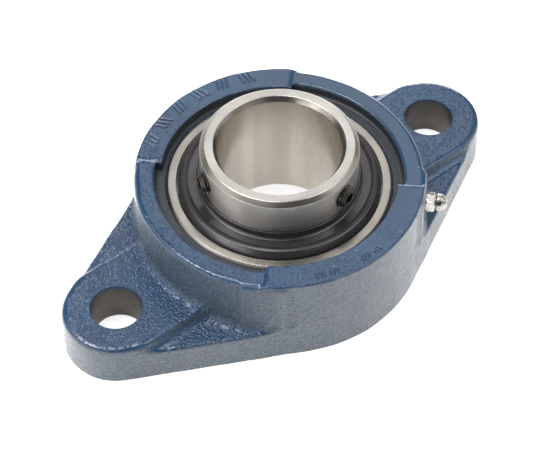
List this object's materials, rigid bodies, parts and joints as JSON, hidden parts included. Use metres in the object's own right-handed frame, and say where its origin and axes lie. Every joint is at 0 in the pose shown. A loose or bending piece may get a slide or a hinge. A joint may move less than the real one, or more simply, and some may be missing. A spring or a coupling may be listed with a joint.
{
  "type": "flange mount bearing",
  "caption": "Cast flange bearing unit with bolt lugs, a self-aligning ball bearing insert with set screws, seals and slingers, and a grease nipple.",
  "frame": {"origin": "where the bearing axis meets the flange's mounting face", "axes": "+X towards one bolt lug, +Z out of the front along the bearing axis, +Y completes the right hand"},
  "size_m": [0.188, 0.108, 0.0522],
  "materials": {
    "blue_paint": "satin blue paint over rough sand-cast grey iron",
    "ground_steel": "ground satin steel with darker turned chamfers",
    "bearing_steel": "hardened and fine ground steel",
    "pressed_steel": "plain pressed sheet steel, lightly oiled",
    "dark_plate": "dark satin coated pressed steel",
    "black_oxide": "black oxide steel with worn bright edges",
    "bright_zinc": "bright zinc plated steel",
    "nitrile": "matt black nitrile rubber"
  },
  "bodies": {
    "housing": {"housing": "blue_paint", "grease_nipple_body": "bright_zinc", "nipple_spring": "pressed_steel"},
    "locating_pin": {"locating_pin": "bearing_steel"},
    "outer_ring": {"outer_ring": "bearing_steel", "front_seal_core": "pressed_steel", "back_seal_core": "pressed_steel", "front_seal_lip": "nitrile", "back_seal_lip": "nitrile"},
    "inner_ring": {"inner_ring": "ground_steel", "front_slinger": "dark_plate", "back_slinger": "dark_plate"},
    "cage": {"cage_front": "pressed_steel", "cage_back": "pressed_steel", "cage_rivet_1": "pressed_steel", "cage_rivet_2": "pressed_steel", "cage_rivet_3": "pressed_steel", "cage_rivet_4": "pressed_steel", "cage_rivet_5": "pressed_steel", "cage_rivet_6": "pressed_steel", "cage_rivet_7": "pressed_steel", "cage_rivet_8": "pressed_steel", "cage_rivet_9": "pressed_steel", "cage_rivet_10": "pressed_steel"},
    "set_screw_1": {"set_screw_1": "black_oxide"},
    "set_screw_2": {"set_screw_2": "black_oxide"},
    "nipple_check_ball": {"nipple_check_ball": "bearing_steel"},
    "ball_1": {"ball_1": "bearing_steel"},
    "ball_2": {"ball_2": "bearing_steel"},
    "ball_3": {"ball_3": "bearing_steel"},
    "ball_4": {"ball_4": "bearing_steel"},
    "ball_5": {"ball_5": "bearing_steel"},
    "ball_6": {"ball_6": "bearing_steel"},
    "ball_7": {"ball_7": "bearing_steel"},
    "ball_8": {"ball_8": "bearing_steel"},
    "ball_9": {"ball_9": "bearing_steel"},
    "ball_10": {"ball_10": "bearing_steel"}
  },
  "joints": [
    {"name": "insert_tilt_y", "type": "hinge", "parent": "housing", "child": "locating_pin", "pos_m": [0, 0, 0.022], "axis": [0, 1, 0], "range_deg": [-2, 2]},
    {"name": "insert_tilt_x", "type": "hinge", "parent": "locating_pin", "child": "outer_ring", "pos_m": [0, 0, 0.022], "axis": [1, 0, 0], "range_deg": [-2, 2]},
    {"name": "inner_ring_spin", "type": "hinge", "parent": "outer_ring", "child": "inner_ring", "pos_m": [0, 0, 0.022], "axis": [0, 0, 1], "continuous": true},
    {"name": "cage_orbit", "type": "hinge", "parent": "outer_ring", "child": "cage", "pos_m": [0, 0, 0.022], "axis": [0, 0, 1], "continuous": true},
    {"name": "ball_1_roll", "type": "hinge", "parent": "cage", "child": "ball_1", "pos_m": [0.0325, 0, 0.022], "axis": [0, 0, 1], "continuous": true},
    {"name": "ball_2_roll", "type": "hinge", "parent": "cage", "child": "ball_2", "pos_m": [0.02629, 0.0191, 0.022], "axis": [0, 0, 1], "continuous": true},
    {"name": "ball_3_roll", "type": "hinge", "parent": "cage", "child": "ball_3", "pos_m": [0.01004, 0.03091, 0.022], "axis": [0, 0, 1], "continuous": true},
    {"name": "ball_4_roll", "type": "hinge", "parent": "cage", "child": "ball_4", "pos_m": [-0.01004, 0.03091, 0.022], "axis": [0, 0, 1], "continuous": true},
    {"name": "ball_5_roll", "type": "hinge", "parent": "cage", "child": "ball_5", "pos_m": [-0.02629, 0.0191, 0.022], "axis": [0, 0, 1], "continuous": true},
    {"name": "ball_6_roll", "type": "hinge", "parent": "cage", "child": "ball_6", "pos_m": [-0.0325, 0, 0.022], "axis": [0, 0, 1], "continuous": true},
    {"name": "ball_7_roll", "type": "hinge", "parent": "cage", "child": "ball_7", "pos_m": [-0.02629, -0.0191, 0.022], "axis": [0, 0, 1], "continuous": true},
    {"name": "ball_8_roll", "type": "hinge", "parent": "cage", "child": "ball_8", "pos_m": [-0.01004, -0.03091, 0.022], "axis": [0, 0, 1], "continuous": true},
    {"name": "ball_9_roll", "type": "hinge", "parent": "cage", "child": "ball_9", "pos_m": [0.01004, -0.03091, 0.022], "axis": [0, 0, 1], "continuous": true},
    {"name": "ball_10_roll", "type": "hinge", "parent": "cage", "child": "ball_10", "pos_m": [0.02629, -0.0191, 0.022], "axis": [0, 0, 1], "continuous": true},
    {"name": "set_screw_1_travel", "type": "slide", "parent": "inner_ring", "child": "set_screw_1", "axis": [0.2419, -0.9703, 0], "range_m": [-0.0015, 0.003]},
    {"name": "set_screw_2_travel", "type": "slide", "parent": "inner_ring", "child": "set_screw_2", "axis": [-0.9613, 0.2756, 0], "range_m": [-0.0015, 0.003]},
    {"name": "check_ball_travel", "type": "slide", "parent": "housing", "child": "nipple_check_ball", "axis": [-0.7071, 0.7071, 0], "range_m": [0, 0.0008], "stiffness_N_per_m": 100, "springref_m": -0.0005, "deforming": ["nipple_spring"]}
  ],
  "couplings": [
    {"joint": "cage_orbit", "follows": "inner_ring_spin", "ratio": 0.40231},
    {"joint": "ball_1_roll", "follows": "inner_ring_spin", "ratio": -2.4614},
    {"joint": "ball_2_roll", "follows": "inner_ring_spin", "ratio": -2.4614},
    {"joint": "ball_3_roll", "follows": "inner_ring_spin", "ratio": -2.4614},
    {"joint": "ball_4_roll", "follows": "inner_ring_spin", "ratio": -2.4614},
    {"joint": "ball_5_roll", "follows": "inner_ring_spin", "ratio": -2.4614},
    {"joint": "ball_6_roll", "follows": "inner_ring_spin", "ratio": -2.4614},
    {"joint": "ball_7_roll", "follows": "inner_ring_spin", "ratio": -2.4614},
    {"joint": "ball_8_roll", "follows": "inner_ring_spin", "ratio": -2.4614},
    {"joint": "ball_9_roll", "follows": "inner_ring_spin", "ratio": -2.4614},
    {"joint": "ball_10_roll", "follows": "inner_ring_spin", "ratio": -2.4614}
  ]
}
